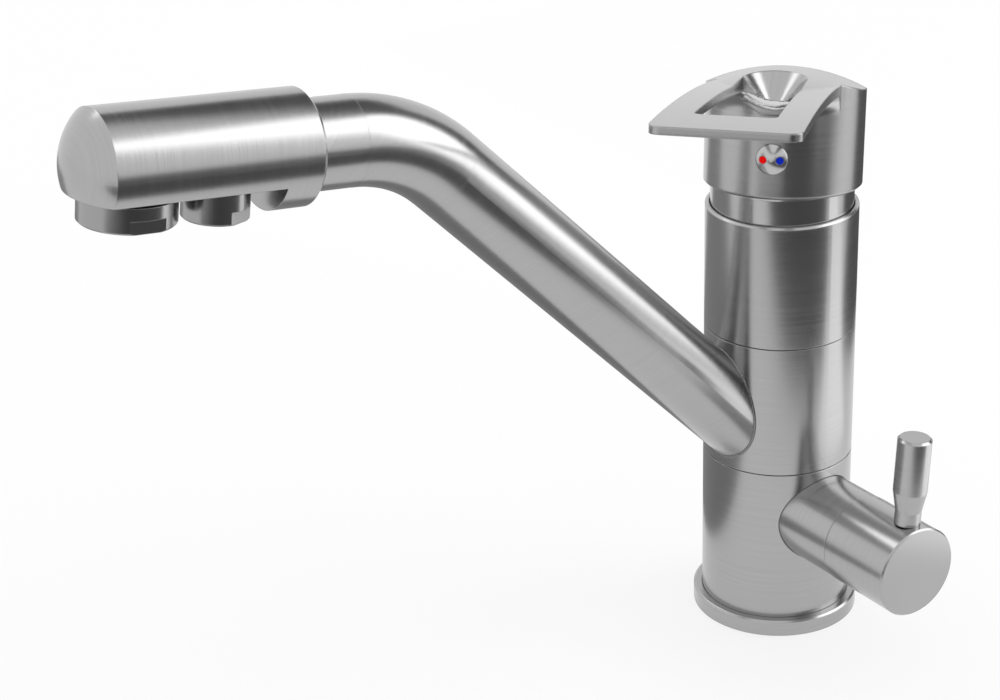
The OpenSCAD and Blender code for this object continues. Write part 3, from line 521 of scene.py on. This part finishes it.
class TAP_OT_insides(bpy.types.Operator):
    """Seals, discs, cartridge, brass and other hidden pieces"""

    bl_idname = "tap.insides"
    bl_label = "Hidden pieces"

    def execute(self, context):
        finish = context.scene.tap_finish
        dressed(moulded("black_rubber", finish.rubber, 0.6),
                "base_gasket", "neck_orings", "cartridge_seals", "valve_seal",
                "main_washer", "filter_washer")
        dressed(moulded("white_acetal", (0.8, 0.8, 0.78), 0.45),
                "cartridge_housing", "filtered_tube")
        # The slip rings show through the hairline seams of the outer body. They take this dark
        # plastic in place of their own white, as painted shade in the seams.
        dressed(moulded("dark_plastic_and_seam_shade", (0.08, 0.085, 0.09), 0.45),
                "cartridge_base", "disc_carrier", "cartridge_turret",
                "lower_slip_ring", "upper_slip_ring")
        dressed(moulded("lapped_ceramic", (0.82, 0.82, 0.8), 0.25, CERAMIC_GRAIN, 0.03),
                "fixed_disc", "sliding_disc", "valve_seat_disc", "valve_turning_disc")
        dressed(polished("turned_brass", finish.brass, 0.3),
                "cartridge_nut", "filter_elbow", "valve_headwork", "valve_spindle",
                "cartridge_stem")
        dressed(polished("ground_steel", (0.45, 0.45, 0.46), 0.3), "turret_pin", "stem_screw")
        return {"FINISHED"}


def flat_card(name, width, height, matrix, material):
    """A flat rectangle for the stage, with its place in its mesh."""
    bm = bmesh.new()
    bmesh.ops.create_grid(bm, x_segments=1, y_segments=1, size=0.5)
    bmesh.ops.scale(bm, vec=(width, height, 1), verts=bm.verts)
    bmesh.ops.transform(bm, matrix=matrix, verts=bm.verts)
    card = new_object(name, bpy.data.meshes.new(name), bm, material)
    return card


def floor_finish(colour):
    """A pale floor: bright to the camera and to reflections, with the object's soft shadow."""
    m = Finish("pale_floor")
    m.set(Base_Color=tint(colour), Roughness=0.9)
    glow = m.node("ShaderNodeEmission", Color=(1, 1, 1, 1), Strength=1.0)
    lit = Socket(m, m.shader.outputs[0])
    m.feed_all(m.output, m.mix_shaders(m.white_rays() * FLOOR_GLOW, lit, glow))
    return m.material


def glowing(name, level):
    """An even glow, as a polished deck shows under a lamp."""
    m = Finish(name)
    m.feed_all(m.output, m.node("ShaderNodeEmission", Color=(1, 1, 1, 1), Strength=level))
    return m.material


def aimed(azimuth, elevation, distance, target=(0, 0, 0.1)):
    """A place round the target, with its local Z turned back to the target."""
    a, e = radians(azimuth, elevation)
    away = Vector((math.sin(a) * math.cos(e), -math.cos(a) * math.cos(e), math.sin(e)))
    turn = away.to_track_quat("Z", "Y").to_matrix().to_4x4()
    return Matrix.Translation(Vector(target) + away * distance) @ turn


def lying(x, y):
    """A place for a dark card on the floor."""
    return Matrix.Translation((x, y, DARK_CARD_Z))


def lying_round(azimuth, distance):
    """A place on the floor round the column, turned to face it, above the dark cards."""
    turn = Matrix.Rotation(math.radians(azimuth), 4, "Z")
    return turn @ Matrix.Translation((0, -distance, NEAR_CARD_Z))


def soft_lamp(name, level, width, height, place):
    """A soft rectangular lamp of a given brightness."""
    lamp = bpy.data.lights.new(name, "AREA")
    lamp.shape, lamp.size, lamp.size_y = "RECTANGLE", width, height
    lamp.energy = level * math.pi * width * height
    holder = bpy.data.objects.new(name, lamp)
    holder.matrix_world = place
    bpy.context.collection.objects.link(holder)


def flag(name, width, height, place, material):
    """A studio card that only shows in the metal's reflections."""
    card = flat_card(name, width, height, place, material)
    card.visible_camera = card.visible_shadow = card.visible_diffuse = False


class TAP_OT_stage(bpy.types.Operator):
    """The floor, the lights, the room and the camera"""

    bl_idname = "tap.stage"
    bl_label = "Studio"

    def execute(self, context):
        stage = context.scene.tap_stage
        level = stage.lamp_level
        floor = floor_finish(stage.floor_colour)
        flat_card("floor", FLOOR_SIZE, FLOOR_SIZE, Matrix.Identity(4), floor)
        self.room(context.scene, stage)
        soft_lamp("side_lamp", level, 1.6, 2.5, aimed(146, 24, 2.2))
        soft_lamp("top_lamp", level * TOP_SHARE, 1.5, 0.68, aimed(-77, 48, 2.3))
        black = moulded("black_flag", BLACK_CARD, CARD_ROUGHNESS)
        flag("back_flag", 2.0, 1.0, aimed(-156, 50, 2.3), black)
        flag("corner_flag", 0.9, 2.3, aimed(180, 22, 2.3), black)
        flag("side_floor_flag", 1.4, 1.45, lying(0.9, -0.475), black)
        flag("far_floor_flag", 0.72, 1.0, lying(-0.24, 0.71), black)
        flag("side_flag", 1.3, 0.45, aimed(72, 3, 1.6), black)
        grey = moulded("grey_flag", GREY_CARD, CARD_ROUGHNESS)
        flag("near_floor_flag", 0.36, 0.74, lying_round(-65, 0.43), grey)
        flag("corner_floor_flag", 1.2, 0.5, lying(1.2, 0.5), black)
        glare = glowing("floor_glare", level * GLARE_SHARE)
        flag("floor_glare", 0.14, 0.28, lying_round(137, 0.27), glare)
        self.camera(context.scene, stage)
        context.scene.view_settings.view_transform = "Standard"
        return {"FINISHED"}

    def room(self, scene, stage):
        """A room that lights the tap softly and is white where it is seen."""
        scene.world = bpy.data.worlds.new("studio_room")
        room = Tree(scene.world)
        where = room.node("ShaderNodeTexCoord")
        height = room.node("ShaderNodeSeparateXYZ", output=2, Vector=where)
        light = room.node("ShaderNodeBackground", Color=room.ramp(height, ROOM_LEVELS),
                          Strength=stage.world_level)
        white = room.node("ShaderNodeBackground", Color=(1, 1, 1, 1), Strength=1.0)
        output = room.add("ShaderNodeOutputWorld")
        room.feed_all(output, room.mix_shaders(room.white_rays(), light, white))

    def camera(self, scene, stage):
        """The photo's camera, which looks past the column and is cropped off its centre."""
        azimuth, elevation, yaw, roll = radians(stage.camera_azimuth, stage.camera_elevation,
                                                CAMERA_YAW, CAMERA_ROLL)
        facing = (Matrix.Rotation(azimuth, 4, "Z")
                  @ Matrix.Rotation(math.pi / 2 - elevation, 4, "X"))
        place = Vector(CAMERA_TARGET) + facing @ Vector((0, 0, 1)) * stage.camera_distance
        facing = facing @ Matrix.Rotation(-yaw, 4, "Y") @ Matrix.Rotation(roll, 4, "Z")
        lens = bpy.data.cameras.new("photo_camera")
        lens.sensor_width, lens.lens = SENSOR_WIDTH, stage.lens
        lens.shift_x = (PICTURE[0] / 2 - OPTICAL_CENTRE[0]) / PICTURE[0]
        lens.shift_y = (OPTICAL_CENTRE[1] - PICTURE[1] / 2) / PICTURE[0]
        lens.clip_start, lens.clip_end = CLIP_NEAR, CLIP_FAR
        camera = bpy.data.objects.new("photo_camera", lens)
        camera.matrix_world = Matrix.Translation(place) @ facing
        bpy.context.collection.objects.link(camera)
        scene.camera = camera


STEPS = (TAP_OT_column, TAP_OT_spout, TAP_OT_handle, TAP_OT_valve, TAP_OT_insides, TAP_OT_stage)


class TAP_PT_panel(bpy.types.Panel):
    """Lists the pieces of the tap and their values"""

    bl_idname = "TAP_PT_panel"
    bl_label = "Kitchen Tap"
    bl_space_type = "VIEW_3D"
    bl_region_type = "UI"
    bl_category = "Tap"

    def draw(self, context):
        for group in (context.scene.tap_finish, context.scene.tap_stage):
            box = self.layout.box()
            for name in group.__annotations__:
                box.prop(group, name)
        for step in STEPS:
            self.layout.operator(step.bl_idname)


CLASSES = (TapFinish, TapStage, *STEPS, TAP_PT_panel)


def register():
    for item in CLASSES:
        bpy.utils.register_class(item)
    bpy.types.Scene.tap_finish = bpy.props.PointerProperty(type=TapFinish)
    bpy.types.Scene.tap_stage = bpy.props.PointerProperty(type=TapStage)


def unregister():
    del bpy.types.Scene.tap_stage
    del bpy.types.Scene.tap_finish
    for item in reversed(CLASSES):
        bpy.utils.unregister_class(item)


def main():
    register()
    for step in STEPS:
        group, name = step.bl_idname.split(".")
        getattr(getattr(bpy.ops, group), name)()


if __name__ == "__main__":
    main()
